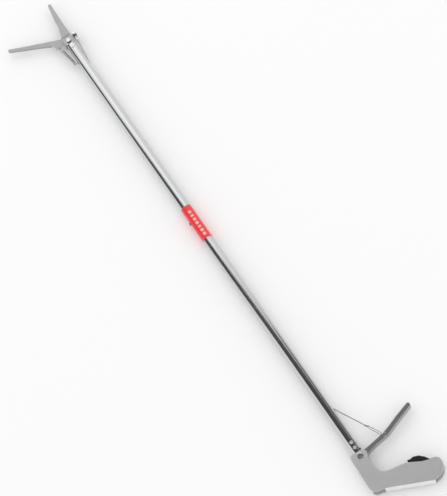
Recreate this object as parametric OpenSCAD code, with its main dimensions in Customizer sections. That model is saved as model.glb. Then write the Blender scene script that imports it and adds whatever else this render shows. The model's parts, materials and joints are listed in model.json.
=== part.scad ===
// Reacher grabber: steel pole, scissor jaws at one end, folded sheet grip with a
// pull trigger at the other. Millimetres. The pole lies along X, the trigger is on
// the +Y side, +Z is the face carrying the screw heads.

/* [Pole] */
// Distance from the jaw pivot to the trigger pivot
pivot_span = 1020; // [800:10:1300]
// Outside diameter of both pole tubes
tube_od = 20; // [19.6:0.1:22]
// Wall of the pole tubes
tube_wall = 0.8; // [0.6:0.1:1]
// Jaw pivot to the seam between the two tubes
seam_x = 500; // [400:10:600]
// Half length of the sleeve hidden under the seam
sleeve_half = 70; // [40:5:100]
// Radial gap of a sleeve inside a tube
sleeve_gap = 0.05; // [0.02:0.01:0.1]
// Wall of the hidden sleeves
sleeve_wall = 1; // [0.8:0.1:1.2]
// Jaw pivot to the near edge of the label
label_x = 420; // [380:5:430]
// Length of the label
label_len = 77; // [50:1:78]
// Thickness of the label
label_t = 0.25; // [0.15:0.05:0.5]
// Jaw pivot to the joint screw
joint_screw_x = 452; // [435:1:460]

/* [Jaws] */
// Angle between the two jaws at rest
jaw_open = 61.3; // [55:0.1:62]
// Angle the moving jaw turns through
jaw_swing = 60.5; // [40:0.1:61]
// Thickness of the fork and jaw sheets
jaw_t = 2; // [1.6:0.1:2.2]
// Half the space between the two fork cheeks
fork_half = 5.5; // [5.2:0.1:6]
// Level of the underside of the fixed blade
blade_z = 1.4; // [1.3:0.1:1.8]
// Depth of the folded outer edge of the fixed jaw
fixed_fold = 6.4; // [4:0.2:7]
// Depth of the folded outer edge of the moving jaw
moving_fold = 6; // [4:0.2:7]
// Jaw pivot bolt diameter
jaw_bolt_d = 6; // [5:0.5:7]
// Jaw bush outside diameter
jaw_bush_d = 10; // [9:0.5:12]
// Wire bolt position on the moving jaw, from the jaw pivot
tail_pos = [-7, 15.8];
// Wire bolt diameter
tail_bolt_d = 4; // [3.5:0.1:4]
// Spring hole position on the moving jaw, along and across it
ear_sn = [20.5, 8.5];
// Spring hole diameter
ear_hole_d = 3.6; // [3.4:0.1:3.8]
// Where the spring hook sits in that hole, from its middle
hook_seat = [-0.72, -0.77];

/* [Spring] */
// Jaw pivot to the spring post along the pole
post_x = 45.5; // [44:0.5:50]
// Height of the spring on its post, from the pole axis
post_y = -14.6; // [-16:0.1:-14.5]
// Spring post diameter
post_d = 3; // [2.5:0.1:3]
// Spring coil outside diameter
coil_d = 6.4; // [5:0.1:6.6]
// Spring wire diameter
spring_wire = 0.9; // [0.7:0.1:1]
// Radius of the spring end loops to the wire centre
loop_r = 2.6; // [2.5:0.1:2.8]

/* [Wire] */
// Diameter of the pull wire
wire_d = 1.8; // [1.4:0.1:1.8]
// Level of the wire at the jaw end
wire_z = 3.2; // [3.1:0.1:3.6]
// Slope of the wire at the jaw end, degrees
head_slope = 6.1; // [5.8:0.1:6.4]
// Length of the jaw end of the wire
head_len = 73.4; // [68:0.1:78]
// Where the wire leaves the pole, from the trigger pivot
exit_x = -107; // [-115:1:-100]
// Length of wire inside the pole past that hole
tail_in = 20; // [18:0.5:20.5]
// Ferrule diameter
ferrule_d = 4; // [3.6:0.1:5]

/* [Trigger] */
// Outside width of the flat tube of the trigger
trig_w = 14; // [12:0.2:14.4]
// Sheet thickness of the trigger
trig_t = 1.2; // [1:0.1:1.6]
// Yoke pin position, from the trigger pivot
yoke_pos = [-9, 58];
// Yoke pin diameter
yoke_pin_d = 4; // [3:0.1:4.5]
// Level of the two yoke legs
yoke_z = 8.3; // [8.25:0.05:8.5]
// Length of the yoke legs
yoke_len = 34.4; // [25:0.2:40]
// Trigger pivot screw diameter
trig_screw_d = 6; // [5:0.5:6.5]
// Trigger bush outside diameter
trig_bush_d = 9; // [8:0.5:9.5]

/* [Grip] */
// Sheet thickness of the grip
grip_t = 1.2; // [1:0.1:1.6]
// Gap between the grip sheets and the tube
grip_gap = 0.15; // [0.1:0.05:0.4]
// Gap between the pad and the grip sheets
pad_gap = 0.1; // [0.05:0.05:0.3]
// Pivot screw head diameter
screw_head_d = 12.5; // [11:0.5:14]
// Pivot screw head height
screw_head_h = 2.75; // [2:0.25:3.5]
// Pivot nut thickness
nut_h = 3.25; // [2.5:0.25:4]
// Rivet head diameter
rivet_head_d = 6.6; // [6:0.1:7.5]

/* [Hidden] */
$fn = 64;
tube_r = tube_od / 2;
bore_r = tube_r - tube_wall;
hx = -pivot_span;
run = 0.05;
wire_r = wire_d / 2;
grip_in = tube_r + grip_gap;
grip_out = grip_in + grip_t;
fixed_tip = [-86, 8.2];
fixed_tip_r = 3.4;
moving_tip = [117, 0.2];
moving_tip_r = 2.8;
trig_tip = [-31, 123.5];
trig_tip_r = 3.8;
butt = [114.5, 84.8];
butt_r = 3;
function jaw_pt(s, n) = [
  -s * cos(jaw_open) + n * sin(jaw_open),
  -s * sin(jaw_open) - n * cos(jaw_open)
];
ear = jaw_pt(ear_sn[0], ear_sn[1]);
x_lo = hx + fixed_tip[0] - fixed_tip_r;
x_hi = butt[0] + butt_r;
y_lo = jaw_pt(moving_tip[0], moving_tip[1])[1] - moving_tip_r;
y_hi = trig_tip[1] + trig_tip_r;
z_lo = -grip_out - nut_h;
shift = [-(x_lo + x_hi) / 2, -(y_lo + y_hi) / 2, -z_lo];
head_dir = [cos(head_slope), -sin(head_slope)];
hook_tip = ear + hook_seat;
spring_vec = [hook_tip[0] - post_x, hook_tip[1] - post_y];
spring_len = norm(spring_vec);
spring_ang = atan2(spring_vec[1], spring_vec[0]);
yoke_vec = [exit_x - yoke_pos[0], tube_r - yoke_pos[1]];
yoke_ang = atan2(yoke_vec[1], yoke_vec[0]);
exit_len = norm(yoke_vec);

module place() {
  translate(shift)
  children();
}
module head() {
  translate([hx, 0, 0])
  children();
}
module along_x(x, len, r) {
  translate([x, 0, 0])
  rotate([0, 90, 0])
  cylinder(r = r, h = len);
}
module pin(p, z0, z1, r) {
  translate([p[0], p[1], z0])
  cylinder(r = r, h = z1 - z0);
}
module hexagon(p, z0, z1, across) {
  translate([p[0], p[1], z0])
  cylinder(r = across / sqrt(3), h = z1 - z0, $fn = 6);
}
module slab(z0, z1) {
  translate([0, 0, z0])
  linear_extrude(height = z1 - z0)
  children();
}
module tube(x0, x1, r1, r0) {
  difference() {
    along_x(x0, x1 - x0, r1);
    along_x(x0 - 1, x1 - x0 + 2, r0);
  }
}
module rod(p0, p1, z, r) {
  a = atan2(p1[1] - p0[1], p1[0] - p0[0]);
  translate([p0[0], p0[1], z])
  rotate([0, 0, a])
  rotate([0, 90, 0])
  cylinder(r = r, h = norm([p1[0] - p0[0], p1[1] - p0[1]]), $fn = 32);
}
module eye(p, z, r_in, r_wire) {
  translate([p[0], p[1], z])
  rotate_extrude()
  translate([r_in + r_wire, 0])
  circle(r = r_wire, $fn = 24);
}

// Pole

module front_tube() {
  color([0.8, 0.81, 0.83])
  place()
  head()
  difference() {
    tube(7, seam_x - 0.15, tube_r, bore_r);
    // spring notch
    translate([6, -tube_r - 1, -4])
    cube([26, 5, 8]);
    // notch for the arm of the moving jaw
    translate([6, 5, -jaw_t / 2 - 0.5])
    cube([10, 10, jaw_t + 1]);
    // wire slot
    translate([36, 5, wire_z - wire_r - 0.5])
    cube([51, 10, wire_d + 1]);
    // fork rivet hole
    pin([14.5, 0], -20, 20, 2 + run);
    // spring post hole
    translate([post_x, 0, 0])
    rotate([90, 0, 0])
    cylinder(r = post_d / 2 + run, h = 20);
    // joint screw hole
    translate([joint_screw_x, 0, 0])
    rotate([90, 0, 0])
    cylinder(r = 1.5 + run, h = 20);
  }
}
module rear_tube() {
  color([0.8, 0.81, 0.83])
  place()
  difference() {
    tube(hx + seam_x + 0.15, 12, tube_r, bore_r);
    // trigger slot
    translate([-15.5, 0, -trig_w / 2 - 0.5])
    cube([40, 20, trig_w + 1]);
    // wire exit
    translate([exit_x - 5.5, 4, -wire_r - 0.4])
    cube([9.5, 10, wire_d + 0.8]);
    // pivot hole
    pin([0, 0], -20, 20, trig_screw_d / 2 + run);
    // near side rivet holes
    pin([-31, 1], 0, 20, 2 + run);
    pin([-19, 1], 0, 20, 2 + run);
  }
}
module joint_sleeve() {
  color([0.62, 0.63, 0.65])
  place()
  head()
  difference() {
    tube(seam_x - sleeve_half, seam_x + sleeve_half, bore_r - sleeve_gap,
      bore_r - sleeve_gap - sleeve_wall);
    translate([joint_screw_x, 0, 0])
    rotate([90, 0, 0])
    cylinder(r = 1.5 + run, h = 20);
  }
}
module joint_screw() {
  color([0.3, 0.3, 0.32])
  place()
  head()
  translate([joint_screw_x, 0, 0])
  rotate([90, 0, 0])
  union() {
    translate([0, 0, bore_r - 2.4])
    cylinder(r = 1.5, h = tube_r - bore_r + 3.4);
    translate([0, 0, tube_r + 0.35])
    cylinder(r = 2.5, h = 1.6);
  }
}
module label_wrap() {
  color([0.85, 0.12, 0.14])
  place()
  head()
  difference() {
    tube(label_x, label_x + label_len, tube_r + 0.05 + label_t, tube_r + 0.05);
    translate([joint_screw_x, 0, 0])
    rotate([90, 0, 0])
    cylinder(r = 2.7, h = 20);
  }
}

// Fork and fixed jaw

module cheek_2d() {
  polygon([
    [6.9, -10.7], [6.9, 9.5], [-2, 9.5], [-14, 9.7], [-14, -9.3], [-9, -10.7]
  ]);
  translate([6, -4.8])
  square([18, 9.6]);
}
module blade_2d() {
  polygon([
    [-10, -10.4], [-13, -9.3], [-24.4, -4.9], [-35.2, -2.2], [-50.7, -0.5],
    [-74.8, 3.3], [-86.9, 4.9], [-86, 11.5], [-74, 11.1], [-56.5, 10.4],
    [-39, 9.8], [-23, 10.2], [-10, 9.65]
  ]);
  translate(fixed_tip)
  circle(r = fixed_tip_r);
}
module edge_band(t) {
  difference() {
    children();
    offset(delta = -t)
    children();
  }
}
module fixed_jaw() {
  color([0.72, 0.73, 0.75])
  place()
  head()
  difference() {
    union() {
      // cheek, joggle and blade, one folded sheet
      intersection() {
        slab(-2, 9)
        union() {
          cheek_2d();
          blade_2d();
        }
        translate([0, 20, 0])
        rotate([90, 0, 0])
        linear_extrude(height = 40)
        polygon([
          [25, fork_half], [25, fork_half + jaw_t], [-9, fork_half + jaw_t],
          [-14.6, blade_z + jaw_t], [-100, blade_z + jaw_t], [-100, blade_z],
          [-13.8, blade_z], [-8.2, fork_half]
        ]);
      }
      // folded outer edge
      slab(blade_z + jaw_t - fixed_fold, blade_z + jaw_t - 0.2)
      intersection() {
        edge_band(1.3)
        blade_2d();
        translate([-84, 6.5])
        square([63, 6]);
      }
      // folded lip at the tip
      slab(blade_z + jaw_t - fixed_fold, blade_z + jaw_t - 0.2)
      intersection() {
        edge_band(1.3)
        blade_2d();
        polygon([[-92, 2], [-76, 2], [-76, 7], [-85, 8], [-92, 9]]);
      }
    }
    pin([0, 0], -20, 20, jaw_bolt_d / 2 + run);
    pin([14.5, 0], -20, 20, 2 + run);
  }
}
module fork_plate() {
  color([0.66, 0.67, 0.69])
  place()
  head()
  difference() {
    slab(-fork_half - jaw_t, -fork_half)
    cheek_2d();
    pin([0, 0], -20, 20, jaw_bolt_d / 2 + run);
    pin([14.5, 0], -20, 20, 2 + run);
  }
}
module fork_spacer() {
  color([0.6, 0.61, 0.63])
  place()
  head()
  difference() {
    pin([14.5, 0], -fork_half, fork_half, 4.5);
    pin([14.5, 0], -20, 20, 2 + run);
  }
}
module fork_rivet() {
  color([0.78, 0.79, 0.81])
  place()
  head()
  union() {
    pin([14.5, 0], -10.5, 10.5, 2);
    difference() {
      union() {
        pin([14.5, 0], 8, 11.2, rivet_head_d / 2);
        pin([14.5, 0], -11.2, -8, rivet_head_d / 2);
      }
      along_x(0, 30, tube_r + 0.02);
    }
  }
}
module jaw_pivot_bolt() {
  color([0.75, 0.76, 0.78])
  place()
  head()
  union() {
    pin([0, 0], -11.8, 7.6, jaw_bolt_d / 2);
    pin([0, 0], fork_half + jaw_t + 0.02, 11.8, 4.2);
  }
}
module jaw_pivot_nut() {
  color([0.7, 0.71, 0.73])
  place()
  head()
  difference() {
    hexagon([0, 0], -11.2, -fork_half - jaw_t - 0.02, 10);
    pin([0, 0], -20, 20, jaw_bolt_d / 2 + run);
  }
}
module spring_post() {
  color([0.7, 0.71, 0.73])
  place()
  head()
  translate([post_x, 0, 0])
  rotate([90, 0, 0])
  union() {
    translate([0, 0, bore_r - 1])
    cylinder(r = post_d / 2, h = -post_y + 3.6 - bore_r);
    translate([0, 0, -post_y + 2.6])
    cylinder(r = post_d / 2 + 1, h = 1.2);
    difference() {
      translate([0, 0, tube_r - 0.4])
      cylinder(r = 2.6, h = 1.2);
      rotate([-90, 0, 0])
      along_x(-10, 20, tube_r + 0.02);
    }
  }
}

// Moving jaw

module moving_2d() {
  offset(delta = 0.01)
  union() {
    polygon([
      jaw_pt(4, -7.6), jaw_pt(16, -7.9), jaw_pt(24, -7.1), jaw_pt(38, -6.2),
      jaw_pt(58, -5), jaw_pt(78, -4), jaw_pt(98, -2.9), jaw_pt(116.6, -2.5),
      jaw_pt(117.2, 3), jaw_pt(99, 3), jaw_pt(59, 2.8), jaw_pt(43, 2.9),
      jaw_pt(33, 4.6), jaw_pt(22.5, 7.4), jaw_pt(10, 4.6), jaw_pt(0, 7)
    ]);
    translate(jaw_pt(moving_tip[0], moving_tip[1]))
    circle(r = moving_tip_r);
    circle(r = 8);
    translate(jaw_pt(21.5, 8.2))
    circle(r = 4.4);
    polygon([
      jaw_pt(33.4, 3), jaw_pt(24.4, 11.4), jaw_pt(19, 10.8), jaw_pt(13.5, 3)
    ]);
    translate(tail_pos)
    circle(r = 4.5);
    polygon([
      [-5.8, -2.5], tail_pos + [-4.1, -1.8], tail_pos + [4.1, 1.8], [5.8, 2.5]
    ]);
  }
}
module moving_jaw() {
  color([0.72, 0.73, 0.75])
  place()
  head()
  difference() {
    union() {
      slab(-jaw_t / 2, jaw_t / 2)
      moving_2d();
      // folded outer edge
      slab(jaw_t / 2 - moving_fold, jaw_t / 2 - 0.2)
      intersection() {
        edge_band(1.3)
        moving_2d();
        polygon([jaw_pt(36, 0), jaw_pt(119, 0), jaw_pt(119, 8), jaw_pt(36, 8)]);
      }
      // folded lip toward the tip
      slab(jaw_t / 2 - moving_fold, jaw_t / 2 - 0.2)
      intersection() {
        edge_band(1.3)
        moving_2d();
        polygon([jaw_pt(72, 0.1), jaw_pt(121, 0.1), jaw_pt(121, -8),
          jaw_pt(72, -8)]);
      }
    }
    pin([0, 0], -20, 20, jaw_bush_d / 2 + 0.02);
    pin(tail_pos, -20, 20, tail_bolt_d / 2 + run);
    pin(ear, -20, 20, ear_hole_d / 2);
  }
}
module jaw_bush() {
  color([0.62, 0.63, 0.65])
  place()
  head()
  difference() {
    pin([0, 0], -fork_half + 0.1, fork_half - 0.1, jaw_bush_d / 2);
    pin([0, 0], -20, 20, jaw_bolt_d / 2 + run);
  }
}
module tail_bolt() {
  color([0.75, 0.76, 0.78])
  place()
  head()
  union() {
    pin(tail_pos, -10.8, 9.2, tail_bolt_d / 2);
    pin(tail_pos, 8.9, 11.2, 3.25);
    pin(tail_pos, jaw_t / 2 + 0.02, wire_z - wire_r - 0.1, 3.1);
  }
}
module tail_nut() {
  color([0.7, 0.71, 0.73])
  place()
  head()
  difference() {
    union() {
      hexagon(tail_pos, -4.4, -jaw_t / 2 - 0.02, 6.6);
      hexagon(tail_pos, -10.6, -8, 6.6);
      pin(tail_pos, -8, -4.4, 2.9);
    }
    pin(tail_pos, -20, 20, tail_bolt_d / 2 + run);
  }
}

// Pull wire

module head_wire() {
  color([0.45, 0.46, 0.48])
  place()
  head()
  difference() {
    union() {
      eye(tail_pos, wire_z, tail_bolt_d / 2 + run, wire_r);
      rod(tail_pos + head_dir * (tail_bolt_d / 2 + wire_r), tail_pos
        + head_dir * head_len, wire_z, wire_r);
    }
    pin(tail_pos, -20, 20, tail_bolt_d / 2 + run);
  }
}
module head_ferrule() {
  color([0.6, 0.61, 0.63])
  place()
  head()
  difference() {
    rod(tail_pos + head_dir * 6, tail_pos + head_dir * 14, wire_z, 1.7);
    rod(tail_pos + head_dir * 3, tail_pos + head_dir * 20, wire_z, wire_r + 0.02);
  }
}
module inner_wire() {
  color([0.4, 0.41, 0.43])
  place()
  inner_wire_rod([hx + 67.5, 5.5, wire_z], [exit_x - 14, -1, 0]);
}
module inner_wire_rod(p0, p1) {
  d = p1 - p0;
  translate(p0)
  rotate([0, acos(d[2] / norm(d)), atan2(d[1], d[0])])
  cylinder(r = wire_r, h = norm(d), $fn = 32);
}
module trigger_wire() {
  color([0.4, 0.41, 0.43])
  place()
  rod(yoke_pos + yoke_vec / exit_len * (yoke_len + 1.2), yoke_pos
    + yoke_vec / exit_len * (exit_len + tail_in), 0, wire_r);
}
module yoke_leg(z) {
  difference() {
    union() {
      eye(yoke_pos, z, yoke_pin_d / 2 + run, wire_r);
      rod(yoke_pos + yoke_vec / exit_len * (yoke_pin_d / 2 + wire_r),
        yoke_pos + yoke_vec / exit_len * yoke_len, z, wire_r);
    }
    pin(yoke_pos, -20, 20, yoke_pin_d / 2 + run);
  }
}
module wire_yoke() {
  color([0.55, 0.56, 0.58])
  place()
  union() {
    yoke_leg(yoke_z);
    yoke_leg(-yoke_z);
    translate(concat(yoke_pos + yoke_vec / exit_len * yoke_len,
      [-yoke_z - wire_r]))
    cylinder(r = wire_r + 0.1, h = 2 * (yoke_z + wire_r), $fn = 32);
  }
}
module yoke_ferrule() {
  color([0.62, 0.63, 0.65])
  place()
  difference() {
    rod(yoke_pos + yoke_vec / exit_len * (yoke_len + 1), yoke_pos
      + yoke_vec / exit_len * (yoke_len + 10), 0, ferrule_d / 2);
    rod(yoke_pos + yoke_vec / exit_len * (yoke_len - 3), yoke_pos
      + yoke_vec / exit_len * (yoke_len + 20), 0, wire_r + 0.02);
  }
}

// Return spring, along its own X axis from the post to the ear

module on_spring() {
  place()
  head()
  translate([post_x, post_y, 0])
  rotate([0, 0, spring_ang])
  children();
}
coil_x0 = loop_r + spring_wire / 2 + 0.1;
coil_x1 = spring_len - 2 * loop_r - spring_wire / 2 - 0.1;
coil_n = floor((coil_x1 - coil_x0) / spring_wire);
module spring_coil() {
  color([0.7, 0.71, 0.73])
  on_spring()
  translate([coil_x0, 0, 0])
  rotate([0, 90, 0])
  rotate_extrude($fn = 32)
  polygon(concat(
    [[coil_d / 2 - spring_wire, 0]],
    [for (k = [0 : 2 * coil_n]) [coil_d / 2 - (k % 2 == 0 ? 0.22 : 0),
      k / (2 * coil_n) * (coil_x1 - coil_x0)]],
    [[coil_d / 2 - spring_wire, coil_x1 - coil_x0]]
  ));
}
module spring_end_loop() {
  color([0.7, 0.71, 0.73])
  on_spring()
  rotate([90, 0, 0])
  rotate_extrude()
  translate([loop_r, 0])
  circle(r = spring_wire / 2, $fn = 24);
}
module spring_hook() {
  color([0.7, 0.71, 0.73])
  on_spring()
  translate([spring_len - loop_r, 0, 0])
  rotate([90, 0, 0])
  rotate_extrude()
  translate([loop_r, 0])
  circle(r = spring_wire / 2, $fn = 24);
}

// Trigger

lever_pts = [
  [0, 0, 5.5], [-5.6, 33, 3.6], [-7.4, 46, 3.7], [-9.6, 61, 4.3],
  [-14, 74, 3.9], [-21, 93, 3.9], [trig_tip[0], trig_tip[1], trig_tip_r]
];
function side(i, k) = (
  let (
    a = lever_pts[i - 1],
    b = lever_pts[i],
    v = [b[0] - a[0], b[1] - a[1]] / norm([b[0] - a[0], b[1] - a[1]])
  )
  k * [-v[1], v[0]]
);
module link_2d(i, dr) {
  p = [lever_pts[i - 1][0], lever_pts[i - 1][1]];
  q = [lever_pts[i][0], lever_pts[i][1]];
  rp = lever_pts[i - 1][2] - dr;
  rq = lever_pts[i][2] - dr;
  polygon([
    p + side(i, rp), q + side(i, rq), q + side(i, -rq), p + side(i, -rp)
  ]);
  translate(q)
  circle(r = rq, $fn = 48);
}
module chain_2d(dr) {
  offset(delta = 0.01)
  union() {
    circle(r = lever_pts[0][2] - dr);
    link_2d(1, dr);
    link_2d(2, dr);
    link_2d(3, dr);
    link_2d(4, dr);
    link_2d(5, dr);
    link_2d(6, dr);
  }
}
module trigger_lever() {
  color([0.7, 0.71, 0.73])
  place()
  difference() {
    slab(-trig_w / 2, trig_w / 2)
    chain_2d(0);
    slab(-trig_w / 2 + trig_t, trig_w / 2 - trig_t)
    union() {
      chain_2d(trig_t);
      // open end inside the pole
      translate([-20, -10])
      square([40, 18]);
    }
    pin([0, 0], -20, 20, trig_bush_d / 2 + 0.02);
    pin(yoke_pos, -20, 20, yoke_pin_d / 2 + run);
  }
}
module trigger_bush() {
  color([0.6, 0.61, 0.63])
  place()
  difference() {
    pin([0, 0], -trig_w / 2 - 0.2, trig_w / 2 + 0.2, trig_bush_d / 2);
    pin([0, 0], -20, 20, trig_screw_d / 2 + run);
  }
}
module yoke_pin() {
  color([0.72, 0.73, 0.75])
  place()
  union() {
    pin(yoke_pos, -yoke_z - wire_r - 0.2, yoke_z + wire_r + 0.2, yoke_pin_d / 2);
    pin(yoke_pos, yoke_z + wire_r + 0.1, yoke_z + wire_r + 1.1, 3);
    pin(yoke_pos, -yoke_z - wire_r - 1.1, -yoke_z - wire_r - 0.1, 3);
  }
}

// Grip

module grip_2d() {
  polygon([
    [-9.7, -9], [-6.4, -17.2], [63.6, -20.2], [71.6, -16], [74.4, -9.6],
    [77, 2.6], [117.19, 83.47], [114.6, 98.5], [110.6, 106.6], [104, 112.6],
    [97, 115.2], [88.3, 114.5], [82.6, 110.6], [79.8, 103.4], [79.2, 96.5],
    [74.2, 84], [65, 69.4], [60.4, 60.6], [57.4, 49.6], [55.2, 38.2],
    [53.6, 27], [51, 19.6], [46, 14.4], [36.8, 11.2], [24, 9.8],
    [10.5, 11.4], [-1, 14.9], [-8.6, 9.9]
  ]);
  translate(butt)
  circle(r = butt_r);
}
module handle_shell() {
  color([0.74, 0.75, 0.77])
  place()
  difference() {
    union() {
      for (side = [0, 1])
      mirror([0, 0, side])
      slab(grip_in, grip_out)
      grip_2d();
      // spine fold
      slab(-grip_in, grip_in)
      intersection() {
        edge_band(grip_t)
        grip_2d();
        translate([-4, -22])
        square([70, 7]);
      }
      // bottom fold
      slab(-grip_in, grip_in)
      intersection() {
        edge_band(grip_t)
        grip_2d();
        polygon([[79.5, -1], [122, 82], [114.5, 86.5], [75.5, 5.5]]);
      }
    }
    pin([0, 0], -20, 20, trig_screw_d / 2 + run);
  }
}
module end_sleeve() {
  color([0.62, 0.63, 0.65])
  place()
  difference() {
    tube(-45, -16.2, bore_r - sleeve_gap, bore_r - sleeve_gap - sleeve_wall);
    pin([-31, 1], 0, 20, 2 + run);
    pin([-19, 1], 0, 20, 2 + run);
  }
}
module handle_rivets() {
  color([0.78, 0.79, 0.81])
  place()
  for (x = [-31, -19])
  union() {
    pin([x, 1], bore_r - sleeve_wall - 1.2, 10.5, 2);
    difference() {
      pin([x, 1], 8, 11.4, rivet_head_d / 2);
      along_x(-60, 60, tube_r + 0.02);
    }
  }
}
module trigger_pivot_screw() {
  color([0.78, 0.79, 0.81])
  place()
  difference() {
    union() {
      pin([0, 0], -grip_out - nut_h + 0.1, grip_out + 0.5, trig_screw_d / 2);
      pin([0, 0], grip_out + 0.02, grip_out + 1.6, screw_head_d / 2);
      translate([0, 0, grip_out + 1.6])
      cylinder(r1 = screw_head_d / 2, r2 = screw_head_d / 2 - 2.2,
        h = screw_head_h - 1.6);
    }
    // cross recess
    for (turn = [0, 90])
    rotate([0, 0, turn + 20])
    translate([-3, -0.6, grip_out + screw_head_h - 1.6])
    cube([6, 1.2, 3]);
  }
}
module trigger_pivot_nut() {
  color([0.7, 0.71, 0.73])
  place()
  difference() {
    hexagon([0, 0], -grip_out - nut_h, -grip_out - 0.02, 10);
    pin([0, 0], -20, 20, trig_screw_d / 2 + run);
  }
}
module grip_pad() {
  color([0.08, 0.08, 0.09])
  place()
  slab(-grip_in + pad_gap, grip_in - pad_gap)
  polygon([
    [56.4, 63.8], [62.4, 65], [68.2, 68.6], [78.5, 83], [86, 96], [84.5, 103],
    [79.4, 99.8], [69.9, 94.4], [61.3, 86.3], [57.3, 77], [58, 69.6]
  ]);
}

front_tube();
rear_tube();
joint_sleeve();
joint_screw();
label_wrap();
fixed_jaw();
fork_plate();
fork_spacer();
fork_rivet();
jaw_pivot_bolt();
jaw_pivot_nut();
spring_post();
moving_jaw();
jaw_bush();
tail_bolt();
tail_nut();
head_wire();
head_ferrule();
inner_wire();
trigger_wire();
wire_yoke();
yoke_ferrule();
spring_coil();
spring_end_loop();
spring_hook();
trigger_lever();
trigger_bush();
yoke_pin();
handle_shell();
end_sleeve();
handle_rivets();
trigger_pivot_screw();
trigger_pivot_nut();
grip_pad();
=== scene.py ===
"""Reacher grabber: a steel pole with scissor jaws, a pull wire, a trigger and a folded grip."""

import json
import math

import bpy
from mathutils import Matrix, Vector

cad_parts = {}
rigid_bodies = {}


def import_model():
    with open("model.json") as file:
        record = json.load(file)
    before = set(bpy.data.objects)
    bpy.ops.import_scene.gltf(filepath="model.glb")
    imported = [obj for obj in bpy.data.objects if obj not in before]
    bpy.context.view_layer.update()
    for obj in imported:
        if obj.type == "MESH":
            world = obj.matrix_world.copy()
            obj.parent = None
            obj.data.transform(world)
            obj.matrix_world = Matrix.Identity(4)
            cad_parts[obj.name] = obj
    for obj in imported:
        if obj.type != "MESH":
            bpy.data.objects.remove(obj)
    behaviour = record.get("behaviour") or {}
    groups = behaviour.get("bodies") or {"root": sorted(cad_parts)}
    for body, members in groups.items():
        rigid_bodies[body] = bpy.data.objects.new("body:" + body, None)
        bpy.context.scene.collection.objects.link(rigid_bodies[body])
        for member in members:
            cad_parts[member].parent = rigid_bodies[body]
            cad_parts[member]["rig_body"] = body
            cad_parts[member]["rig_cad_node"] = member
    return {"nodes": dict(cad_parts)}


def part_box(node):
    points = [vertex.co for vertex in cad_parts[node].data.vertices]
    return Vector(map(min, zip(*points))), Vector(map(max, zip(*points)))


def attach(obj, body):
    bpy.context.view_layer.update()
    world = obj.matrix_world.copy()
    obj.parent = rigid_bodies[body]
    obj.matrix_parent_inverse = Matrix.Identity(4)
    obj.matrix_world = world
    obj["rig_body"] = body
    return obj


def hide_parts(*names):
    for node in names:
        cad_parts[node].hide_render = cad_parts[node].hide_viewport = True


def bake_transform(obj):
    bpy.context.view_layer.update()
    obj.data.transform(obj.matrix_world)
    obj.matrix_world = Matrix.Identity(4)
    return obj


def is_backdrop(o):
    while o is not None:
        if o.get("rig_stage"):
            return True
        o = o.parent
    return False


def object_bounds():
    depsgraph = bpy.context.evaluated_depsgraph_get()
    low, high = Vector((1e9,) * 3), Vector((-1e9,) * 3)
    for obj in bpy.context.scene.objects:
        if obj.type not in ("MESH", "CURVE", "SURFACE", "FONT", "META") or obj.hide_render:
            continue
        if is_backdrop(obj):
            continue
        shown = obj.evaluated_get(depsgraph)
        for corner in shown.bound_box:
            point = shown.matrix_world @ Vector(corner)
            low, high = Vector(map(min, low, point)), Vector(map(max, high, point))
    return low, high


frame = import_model()
CAD_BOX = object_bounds()

bl_info = {
    "name": "Reacher grabber",
    "version": (1, 0, 0),
    "blender": (4, 5, 0),
    "location": "View3D > Sidebar > Grabber",
    "description": "Builds a reacher grabber around its packed steel frame",
    "category": "Object",
}

MM = 0.001

# Edges that turn less than this are shaded smooth
SMOOTH_TURN = math.radians(38)

# Points nearer than this are one point, and faces flatter than this are one face
MERGE_GAP = 0.002 * MM
FLAT_TURN = math.radians(0.6)

# Label squares: plain ends of the wrap, start of the row, side shift, start height, lift, thickness
MARK_ENDS = 16 * MM
MARK_START = 11 * MM
MARK_SHIFT = 1 * MM
MARK_DROP = 4 * MM
MARK_LIFT = 0.03 * MM
MARK_THICKNESS = 0.02 * MM
NARROW_MARK = 0.75

# Stage
FLOOR_SIZE = 30
FLOOR_HEIGHT = -0.6 * MM
LENS = 302.54
SENSOR = 36
VIEW_DEPTH = 60


def centre(node):
    """The middle of a steel part's box."""
    low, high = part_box(node)
    return (low + high) / 2


POLE_Y = centre("rear_tube").y


class GrabberFinish(bpy.types.PropertyGroup):
    """Colours and polish of the grabber."""

    tube_color: bpy.props.FloatVectorProperty(
        name="Tube", description="Colour of the polished pole", subtype="COLOR", size=3,
        min=0, max=1, default=(0.62, 0.625, 0.635),
    )
    tube_polish: bpy.props.FloatProperty(
        name="Tube roughness", description="How matt the pole is", subtype="FACTOR",
        min=0, max=1, default=0.13,
    )
    sheet_color: bpy.props.FloatVectorProperty(
        name="Sheet", description="Colour of the folded sheet", subtype="COLOR", size=3,
        min=0, max=1, default=(0.40, 0.40, 0.407),
    )
    sheet_polish: bpy.props.FloatProperty(
        name="Sheet roughness", description="How matt the folded sheet is", subtype="FACTOR",
        min=0, max=1, default=0.34,
    )
    label_color: bpy.props.FloatVectorProperty(
        name="Label", description="Colour of the wrap on the pole", subtype="COLOR", size=3,
        min=0, max=1, default=(0.80, 0.028, 0.035),
    )
    mark_color: bpy.props.FloatVectorProperty(
        name="Label marks", description="Colour of the plain squares on the wrap",
        subtype="COLOR", size=3, min=0, max=1, default=(0.90, 0.46, 0.41),
    )
    pad_color: bpy.props.FloatVectorProperty(
        name="Pad", description="Colour of the rubber pad", subtype="COLOR", size=3,
        min=0, max=1, default=(0.012, 0.012, 0.013),
    )
    wire_color: bpy.props.FloatVectorProperty(
        name="Wire", description="Colour of the pull wire and spring", subtype="COLOR", size=3,
        min=0, max=1, default=(0.42, 0.42, 0.43),
    )


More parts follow.
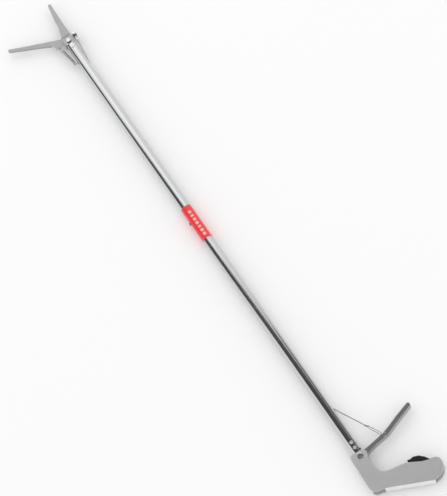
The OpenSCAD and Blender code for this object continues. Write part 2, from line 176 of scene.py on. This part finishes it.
class GrabberSizes(bpy.types.PropertyGroup):
    """Sizes that the steel frame leaves open."""

    sheet_edge: bpy.props.FloatProperty(
        name="Sheet edge", description="Rounding of the folded sheet's edges",
        subtype="DISTANCE", unit="LENGTH", min=0, max=0.001, default=0.35 * MM,
    )
    fastener_edge: bpy.props.FloatProperty(
        name="Fastener edge", description="Rounding of the bolts, nuts and rivets",
        subtype="DISTANCE", unit="LENGTH", min=0, max=0.001, default=0.4 * MM,
    )
    pad_edge: bpy.props.FloatProperty(
        name="Pad edge", description="Rounding of the rubber pad", subtype="DISTANCE",
        unit="LENGTH", min=0, max=0.004, default=1.6 * MM,
    )
    spring_turns: bpy.props.IntProperty(
        name="Spring turns", description="Turns of the return spring", min=10, max=60, default=34,
    )
    spring_wire: bpy.props.FloatProperty(
        name="Spring wire", description="Diameter of the spring's wire", subtype="DISTANCE",
        unit="LENGTH", min=0.0004, max=0.0012, default=0.85 * MM,
    )
    spring_leader: bpy.props.FloatProperty(
        name="Spring leader", description="Straight wire between the coil and its hook's middle",
        subtype="DISTANCE", unit="LENGTH", min=0.003, max=0.012, default=7.4 * MM,
    )
    mark_side: bpy.props.FloatProperty(
        name="Label square", description="Side of one square on the wrap", subtype="DISTANCE",
        unit="LENGTH", min=0.001, max=0.009, default=5.8 * MM,
    )
    mark_count: bpy.props.IntProperty(
        name="Label squares", description="How many squares the wrap has", min=1, max=9, default=7,
    )


# Materials


def blank(name):
    """A material with its nodes, its main shader and its object coordinates."""
    made = bpy.data.materials.new(name)
    made.use_nodes = True
    nodes = made.node_tree.nodes
    shader = nodes["Principled BSDF"]
    place = nodes.new("ShaderNodeTexCoord")
    return made, shader, place.outputs["Object"]


def grain(made, shader, place, stretch, rough, depth):
    """Streaks of varying polish, longest along the way that stretch is smallest."""
    nodes, links = made.node_tree.nodes, made.node_tree.links
    turn = nodes.new("ShaderNodeMapping")
    turn.inputs["Scale"].default_value = stretch
    links.new(place, turn.inputs["Vector"])
    noise = nodes.new("ShaderNodeTexNoise")
    noise.inputs["Scale"].default_value = 1.0
    noise.inputs["Detail"].default_value = 5
    links.new(turn.outputs["Vector"], noise.inputs["Vector"])
    level = nodes.new("ShaderNodeMapRange")
    level.inputs["From Min"].default_value = 0.3
    level.inputs["From Max"].default_value = 0.7
    level.inputs["To Min"].default_value = rough[0]
    level.inputs["To Max"].default_value = rough[1]
    links.new(noise.outputs["Fac"], level.inputs["Value"])
    links.new(level.outputs["Result"], shader.inputs["Roughness"])
    if depth:
        bump = nodes.new("ShaderNodeBump")
        bump.inputs["Strength"].default_value = depth
        bump.inputs["Distance"].default_value = 0.1 * MM
        links.new(noise.outputs["Fac"], bump.inputs["Height"])
        links.new(bump.outputs["Normal"], shader.inputs["Normal"])


def plain(name, color, rough, shine=0.5):
    """A finish of one colour with no grain."""
    made, shader, _ = blank(name)
    shader.inputs["Base Color"].default_value = (*color, 1)
    shader.inputs["Roughness"].default_value = rough
    shader.inputs["Specular IOR Level"].default_value = shine
    return made


def metal(name, color, polish, stretch, depth):
    """A bare steel finish with a grain."""
    made, shader, place = blank(name)
    shader.inputs["Base Color"].default_value = (*color, 1)
    shader.inputs["Metallic"].default_value = 1
    grain(made, shader, place, stretch, (polish * 0.8, polish * 1.25), depth)
    return made


def tube_steel(name):
    """The pole's polished steel, drawn along its length."""
    tones = bpy.context.scene.grabber_finish
    return metal(name, tones.tube_color, tones.tube_polish, (6, 420, 420), 0.02)


def sheet_steel(name):
    """The jaws' brushed sheet."""
    tones = bpy.context.scene.grabber_finish
    return metal(name, tones.sheet_color, tones.sheet_polish, (40, 700, 700), 0.12)


def lever_steel(name):
    """The trigger's duller steel."""
    return metal(name, (0.44, 0.44, 0.445), 0.36, (700, 60, 700), 0.12)


def grip_steel(name):
    """The grip's matt, finely scratched steel."""
    return metal(name, (0.93, 0.93, 0.935), 0.52, (500, 60, 500), 0.15)


def hardware_steel(name):
    """The steel of the bolts, nuts, bushes and ferrules, and of the spring's turns."""
    return metal(name, (0.70, 0.70, 0.71), 0.25, (300, 300, 300), 0.05)


def rivet_steel(name):
    """The paler steel of the grip's two rivets."""
    return metal(name, (0.92, 0.92, 0.92), 0.55, (300, 300, 300), 0.05)


def dark_steel(name):
    """The dark screw at the seam of the pole."""
    return metal(name, (0.18, 0.18, 0.19), 0.35, (300, 300, 300), 0.05)


def wire_steel(name):
    """The pull wire's dull steel."""
    return metal(name, bpy.context.scene.grabber_finish.wire_color, 0.33, (900, 900, 900), 0.3)


def label_film(name):
    """The red wrap's thin glossy film."""
    made, shader, place = blank(name)
    shader.inputs["Base Color"].default_value = (*bpy.context.scene.grabber_finish.label_color, 1)
    shader.inputs["Coat Weight"].default_value = 0.5
    shader.inputs["Coat Roughness"].default_value = 0.12
    grain(made, shader, place, (60, 200, 200), (0.25, 0.4), 0.03)
    return made


def label_ink(name):
    """The pale squares on the wrap."""
    return plain(name, bpy.context.scene.grabber_finish.mark_color, 0.4)


def pad_rubber(name):
    """The grip pad's black rubber."""
    made, shader, place = blank(name)
    shader.inputs["Base Color"].default_value = (*bpy.context.scene.grabber_finish.pad_color, 1)
    shader.inputs["Specular IOR Level"].default_value = 0.35
    grain(made, shader, place, (900, 900, 900), (0.5, 0.72), 0.5)
    return made


FINISHES = {
    "tube": ("tube steel", tube_steel),
    "sheet": ("sheet steel", sheet_steel),
    "lever": ("lever steel", lever_steel),
    "grip": ("grip steel", grip_steel),
    "fastener": ("fastener steel", hardware_steel),
    "rivet": ("rivet steel", rivet_steel),
    "dark": ("dark steel", dark_steel),
    "wire": ("wire steel", wire_steel),
    "label": ("label film", label_film),
    "ink": ("label ink", label_ink),
    "rubber": ("pad rubber", pad_rubber),
}


def finish(name):
    """The finish of that name, made the first time that it is asked for."""
    title, maker = FINISHES[name]
    return bpy.data.materials.get(title) or maker(title)


# Shaping


def drop_selection():
    """Leaves nothing selected."""
    bpy.ops.object.select_all(action="DESELECT")


def hold(piece):
    """Makes a piece the only one that operators act on."""
    drop_selection()
    piece.select_set(True)
    bpy.context.view_layer.objects.active = piece


def coat(piece, name):
    """Gives a piece one finish and no other."""
    piece.data.materials.clear()
    piece.data.materials.append(finish(name))


def apply_all(piece):
    """Applies a piece's modifiers in their order."""
    hold(piece)
    for step in list(piece.modifiers):
        bpy.ops.object.modifier_apply(modifier=step.name)


def settle(piece):
    """Leaves the object at the origin, unturned, with its place in its mesh."""
    hold(piece)
    bpy.ops.object.transform_apply(location=True, rotation=True, scale=True)


def from_steel(node, name):
    """A merged copy of a steel part's mesh, flat areas made one face."""
    source = frame["nodes"][node]
    piece = source.copy()
    piece.data = source.data.copy()
    piece.name = name
    piece.parent = None
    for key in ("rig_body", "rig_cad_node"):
        if key in piece:
            del piece[key]
    bpy.context.scene.collection.objects.link(piece)
    hold(piece)
    if piece.data.has_custom_normals:
        bpy.ops.mesh.customdata_custom_splitnormals_clear()
    bpy.ops.object.mode_set(mode="EDIT")
    bpy.ops.mesh.select_all(action="SELECT")
    bpy.ops.mesh.remove_doubles(threshold=MERGE_GAP)
    bpy.ops.mesh.dissolve_limited(angle_limit=FLAT_TURN)
    bpy.ops.object.mode_set(mode="OBJECT")
    return piece


def soften(piece, width, angle, segments):
    """Rounds the edges that turn more than angle."""
    bevel = piece.modifiers.new("edge", "BEVEL")
    bevel.width = width
    bevel.segments = segments
    bevel.limit_method = "ANGLE"
    bevel.angle_limit = math.radians(angle)
    bevel.miter_outer = "MITER_ARC"
    apply_all(piece)
    hold(piece)
    bpy.ops.object.shade_smooth_by_angle(angle=SMOOTH_TURN)
    even = piece.modifiers.new("even", "WEIGHTED_NORMAL")
    even.keep_sharp = True
    apply_all(piece)


def dress(node, body, coat_name, width, angle=35, segments=2):
    """A finished stand for one steel part, its edges rounded where width is more than 0."""
    piece = from_steel(node, node + "_finished")
    if width:
        soften(piece, width, angle, segments)
    else:
        hold(piece)
        bpy.ops.object.shade_smooth_by_angle(angle=SMOOTH_TURN)
    coat(piece, coat_name)
    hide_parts(node)
    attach(piece, body)
    return piece


# Operators


class GRABBER_OT_pole(bpy.types.Operator):
    """Polishes the two tubes of the pole"""

    bl_idname = "grabber.pole"
    bl_label = "Pole"

    def execute(self, context):
        dress("front_tube", "frame", "tube", 0)
        dress("rear_tube", "frame", "tube", 0)
        dress("joint_screw", "frame", "dark", 0.4 * MM)
        dress("joint_sleeve", "frame", "tube", 0)
        dress("end_sleeve", "frame", "tube", 0)
        return {"FINISHED"}


class GRABBER_OT_label(bpy.types.Operator):
    """Wraps the red label round the pole, with a row of plain squares"""

    bl_idname = "grabber.label"
    bl_label = "Label"

    def execute(self, context):
        sizes = context.scene.grabber_sizes
        wrap = dress("label_wrap", "frame", "label", 0)
        low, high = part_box("label_wrap")
        side = sizes.mark_side
        step = (high.x - low.x - MARK_ENDS) / sizes.mark_count
        for n in range(sizes.mark_count):
            drop_selection()
            along = low.x + MARK_START + step * (n + 0.5)
            spot = (along, POLE_Y + MARK_SHIFT, high.z + MARK_DROP)
            bpy.ops.mesh.primitive_grid_add(
                x_subdivisions=4, y_subdivisions=10, size=side, location=spot
            )
            mark = context.object
            mark.name = f"label_square_{n + 1}"
            wide = NARROW_MARK if n % 3 == 1 else 1.0
            mark.scale = (wide, 1, 1)
            settle(mark)
            lay = mark.modifiers.new("lay", "SHRINKWRAP")
            lay.target = wrap
            lay.wrap_method = "PROJECT"
            lay.use_project_z = True
            lay.use_negative_direction = True
            lay.use_positive_direction = False
            lay.offset = MARK_LIFT
            thick = mark.modifiers.new("thick", "SOLIDIFY")
            thick.thickness = MARK_THICKNESS
            thick.offset = 1
            apply_all(mark)
            bpy.ops.object.shade_smooth_by_angle(angle=SMOOTH_TURN)
            coat(mark, "ink")
            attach(mark, "frame")
        return {"FINISHED"}


class GRABBER_OT_fixed_jaw(bpy.types.Operator):
    """Rounds the fork and the jaw that is one piece with it"""

    bl_idname = "grabber.fixed_jaw"
    bl_label = "Fixed jaw"

    def execute(self, context):
        sizes = context.scene.grabber_sizes
        dress("fixed_jaw", "frame", "sheet", sizes.sheet_edge)
        dress("fork_plate", "frame", "sheet", sizes.sheet_edge)
        for node in ("fork_spacer", "fork_rivet", "jaw_pivot_bolt", "jaw_pivot_nut", "spring_post"):
            dress(node, "frame", "fastener", sizes.fastener_edge)
        return {"FINISHED"}


class GRABBER_OT_moving_jaw(bpy.types.Operator):
    """Rounds the moving jaw, its bush and its wire bolt"""

    bl_idname = "grabber.moving_jaw"
    bl_label = "Moving jaw"

    def execute(self, context):
        sizes = context.scene.grabber_sizes
        dress("moving_jaw", "moving_jaw", "sheet", sizes.sheet_edge)
        dress("jaw_bush", "moving_jaw", "fastener", 0.2 * MM)
        dress("tail_bolt", "moving_jaw", "fastener", sizes.fastener_edge)
        dress("tail_nut", "moving_jaw", "fastener", 0.3 * MM)
        return {"FINISHED"}


class GRABBER_OT_wires(bpy.types.Operator):
    """Finishes the pull wire, its yoke and its ferrules"""

    bl_idname = "grabber.wires"
    bl_label = "Pull wire"

    def execute(self, context):
        dress("head_wire", "jaw_wire", "wire", 0)
        dress("head_ferrule", "jaw_wire", "fastener", 0.25 * MM)
        dress("inner_wire", "pole_wire", "wire", 0)
        dress("trigger_wire", "trigger_wire", "wire", 0)
        dress("wire_yoke", "trigger_wire", "fastener", 0)
        dress("yoke_ferrule", "trigger_wire", "fastener", 0.3 * MM)
        return {"FINISHED"}


def straight_wire(name, start, end, thickness, body):
    """A straight length of spring wire between two points."""
    drop_selection()
    bpy.ops.mesh.primitive_cylinder_add(
        vertices=12, radius=thickness / 2, depth=(end - start).length, location=(0, 0, 0)
    )
    piece = bpy.context.object
    piece.name = name
    turn = Vector((0, 0, 1)).rotation_difference(end - start).to_matrix().to_4x4()
    piece.matrix_world = Matrix.Translation((start + end) / 2) @ turn
    settle(piece)
    bpy.ops.object.shade_smooth_by_angle(angle=SMOOTH_TURN)
    coat(piece, "fastener")
    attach(piece, body)


class GRABBER_OT_spring(bpy.types.Operator):
    """Winds the return spring between its post and the moving jaw"""

    bl_idname = "grabber.spring"
    bl_label = "Return spring"

    def execute(self, context):
        sizes = context.scene.grabber_sizes
        post = centre("spring_end_loop")
        hook = centre("spring_hook")
        way = (hook - post).normalized()
        wire = sizes.spring_wire
        low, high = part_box("spring_coil")
        # the coil clears the hub of the closed jaw
        hub_room = 0.34 * MM
        radius = (high.z - low.z) / 2 - wire / 2 - hub_room
        loop_low, loop_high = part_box("spring_hook")
        loop = (loop_high.z - loop_low.z - wire) / 2
        base = post + way * (loop + 0.2 * MM)
        tip = hook - way * sizes.spring_leader
        length = (tip - base).length
        drop_selection()
        bpy.ops.mesh.primitive_circle_add(
            vertices=8, radius=wire / 2, fill_type="NOTHING", location=(radius, 0, 0),
            rotation=(math.pi / 2, 0, 0),
        )
        coil = context.object
        coil.name = "spring_coil_wire"
        settle(coil)
        wind = coil.modifiers.new("wind", "SCREW")
        wind.axis = "Z"
        wind.steps = 16
        wind.render_steps = 16
        wind.iterations = sizes.spring_turns
        wind.screw_offset = length / sizes.spring_turns
        wind.use_normal_calculate = True
        apply_all(coil)
        bpy.ops.object.mode_set(mode="EDIT")
        bpy.ops.mesh.select_all(action="DESELECT")
        bpy.ops.mesh.select_non_manifold()
        bpy.ops.mesh.fill()
        bpy.ops.mesh.select_all(action="SELECT")
        bpy.ops.mesh.normals_make_consistent(inside=False)
        bpy.ops.object.mode_set(mode="OBJECT")
        turn = Vector((0, 0, 1)).rotation_difference(way).to_matrix().to_4x4()
        coil.matrix_world = Matrix.Translation(base) @ turn
        settle(coil)
        bpy.ops.object.shade_smooth()
        coat(coil, "fastener")
        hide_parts("spring_coil")
        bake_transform(coil)
        out = turn @ Vector((radius, 0, 0))
        straight_wire("spring_first_turn", base, base + out, wire, "spring_base")
        straight_wire("spring_leader", hook - way * loop, tip, wire, "spring_tip")
        straight_wire("spring_last_turn", tip, tip + out, wire, "spring_tip")
        dress("spring_end_loop", "spring_base", "wire", 0)
        dress("spring_hook", "spring_tip", "wire", 0)
        return {"FINISHED"}


class GRABBER_OT_trigger(bpy.types.Operator):
    """Rounds the flat-tube trigger, its bush and the yoke pin"""

    bl_idname = "grabber.trigger"
    bl_label = "Trigger"

    def execute(self, context):
        sizes = context.scene.grabber_sizes
        dress("trigger_lever", "trigger", "lever", 1.0 * MM, segments=3)
        dress("trigger_bush", "trigger", "fastener", 0.2 * MM)
        dress("yoke_pin", "trigger", "fastener", 0.35 * MM)
        return {"FINISHED"}


class GRABBER_OT_grip(bpy.types.Operator):
    """Rounds the folded grip, its rubber pad and its fasteners"""

    bl_idname = "grabber.grip"
    bl_label = "Grip"

    def execute(self, context):
        sizes = context.scene.grabber_sizes
        dress("handle_shell", "frame", "grip", sizes.sheet_edge)
        dress("grip_pad", "frame", "rubber", sizes.pad_edge, angle=50, segments=4)
        dress("handle_rivets", "frame", "rivet", sizes.fastener_edge)
        dress("trigger_pivot_screw", "frame", "fastener", 0.3 * MM)
        dress("trigger_pivot_nut", "frame", "fastener", sizes.fastener_edge)
        return {"FINISHED"}


def softbox(name, spot, aim, size, power):
    """A plain square studio light aimed at a point."""
    drop_selection()
    bpy.ops.object.light_add(type="AREA", location=spot)
    lamp = bpy.context.object
    lamp.name = name
    lamp.data.shape = "RECTANGLE"
    lamp.data.size = size
    lamp.data.size_y = size
    lamp.data.energy = power
    facing = (Vector(aim) - Vector(spot)).to_track_quat("-Z", "X")
    lamp.rotation_euler = facing.to_euler()


def flag(name, cloth, corners):
    """A four-cornered dark sheet that gives the steel something to mirror."""
    drop_selection()
    bpy.ops.mesh.primitive_plane_add(size=1)
    sheet = bpy.context.object
    sheet.name = name
    for vertex, corner in zip((0, 1, 3, 2), corners):
        sheet.data.vertices[vertex].co = corner
    sheet.data.materials.append(cloth)
    sheet.visible_camera = False
    sheet.visible_diffuse = False
    sheet.visible_shadow = False
    sheet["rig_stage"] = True


# The flags, which mirrors see and the camera does not, with their corners in metres
CLOTH_FLAGS = (
    ("low_flag", (
        (-4.0, -2.30, 1.93), (-0.95, -2.30, 1.93), (-1.25, -2.98, 0.26), (-4.0, -2.98, 0.26),
    )),
    ("high_flag", (
        (-1.20, -0.4, 3.0), (2.6, -0.4, 3.0), (2.6, -2.30, 1.94), (-1.75, -2.30, 1.94),
    )),
    ("top_flag", (
        (-1.25, 2.6, 3.0), (2.6, 2.6, 3.0), (2.6, -0.4, 3.0), (-1.20, -0.4, 3.0),
    )),
)
SIDE_FLAG = (
    (-1.10, 3.2, 0.2), (2.6, 3.2, 0.2), (2.6, 2.6, 3.0), (-1.25, 2.6, 3.0),
)


class GRABBER_OT_stage(bpy.types.Operator):
    """Adds the pale floor, the soft light, the flags and the camera"""

    bl_idname = "grabber.stage"
    bl_label = "Stage"

    def execute(self, context):
        scene = context.scene
        drop_selection()
        bpy.ops.mesh.primitive_plane_add(size=FLOOR_SIZE, location=(0, 0, FLOOR_HEIGHT))
        floor = context.object
        floor.name = "floor"
        floor.data.materials.append(plain("floor paper", (0.93, 0.93, 0.93), 0.9, 0.1))
        floor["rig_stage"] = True

        cloth = plain("flag cloth", (0.08, 0.08, 0.08), 1, 0)
        for name, corners in CLOTH_FLAGS:
            flag(name, cloth, corners)
        flag("side_flag", plain("grey cloth", (0.22, 0.22, 0.22), 1, 0), SIDE_FLAG)

        softbox("side softbox", (-3.2, 0.8, 2.8), (0, 0, 0), 4.0, 17)

        world = bpy.data.worlds.new("studio")
        world.use_nodes = True
        sky = world.node_tree.nodes["Background"]
        sky.inputs["Color"].default_value = (1.0, 1.0, 1.0, 1)
        sky.inputs["Strength"].default_value = 1.0
        scene.world = world
        scene.view_settings.view_transform = "Standard"
        scene.view_settings.look = "None"

        drop_selection()
        bpy.ops.object.camera_add(location=(0, 0, 0))
        camera = context.object
        right = Vector((0.52781, 0.82633, -0.19649))
        up = Vector((-0.75109, 0.56209, 0.34630))
        back = right.cross(up).normalized()
        right = up.cross(back).normalized()
        up = back.cross(right)
        spot = Vector((3.05168, -0.26691, 7.06067))
        camera.matrix_world = Matrix((
            (right.x, up.x, back.x, spot.x),
            (right.y, up.y, back.y, spot.y),
            (right.z, up.z, back.z, spot.z),
            (0, 0, 0, 1),
        ))
        camera.data.sensor_fit = "VERTICAL"
        camera.data.sensor_height = SENSOR
        camera.data.lens = LENS
        camera.data.clip_end = VIEW_DEPTH
        scene.camera = camera
        return {"FINISHED"}


STEPS = (
    "stage", "pole", "label", "fixed_jaw", "moving_jaw", "wires", "spring", "trigger", "grip",
)


class GRABBER_PT_panel(bpy.types.Panel):
    """Lists the grabber's pieces"""

    bl_idname = "GRABBER_PT_panel"
    bl_label = "Reacher grabber"
    bl_space_type = "VIEW_3D"
    bl_region_type = "UI"
    bl_category = "Grabber"

    def draw(self, context):
        column = self.layout.column()
        for group in (context.scene.grabber_finish, context.scene.grabber_sizes):
            for name in group.__class__.__annotations__:
                column.prop(group, name)
        for name in STEPS:
            column.operator("grabber." + name)


CLASSES = (
    GrabberFinish, GrabberSizes, GRABBER_OT_stage, GRABBER_OT_pole, GRABBER_OT_label,
    GRABBER_OT_fixed_jaw, GRABBER_OT_moving_jaw, GRABBER_OT_wires, GRABBER_OT_spring,
    GRABBER_OT_trigger, GRABBER_OT_grip, GRABBER_PT_panel,
)


def register():
    for one in CLASSES:
        bpy.utils.register_class(one)
    bpy.types.Scene.grabber_finish = bpy.props.PointerProperty(type=GrabberFinish)
    bpy.types.Scene.grabber_sizes = bpy.props.PointerProperty(type=GrabberSizes)


def unregister():
    del bpy.types.Scene.grabber_sizes
    del bpy.types.Scene.grabber_finish
    for one in reversed(CLASSES):
        bpy.utils.unregister_class(one)


def visual_box():
    """The box of every shown piece, as plain lists."""
    low, high = [1e9] * 3, [-1e9] * 3
    for piece in bpy.context.scene.objects:
        if piece.type != "MESH" or piece.hide_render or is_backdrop(piece):
            continue
        for vertex in piece.data.vertices:
            point = piece.matrix_world @ vertex.co
            for k in range(3):
                low[k] = min(low[k], point[k])
                high[k] = max(high[k], point[k])
    return [low, high]


def main():
    register()
    for name in STEPS:
        getattr(bpy.ops.grabber, name)()
    bpy.context.view_layer.update()
    cad = [[float(v) for v in corner] for corner in CAD_BOX]
    {"cad_box": cad, "visual_box": visual_box()}


if __name__ == "__main__":
    main()
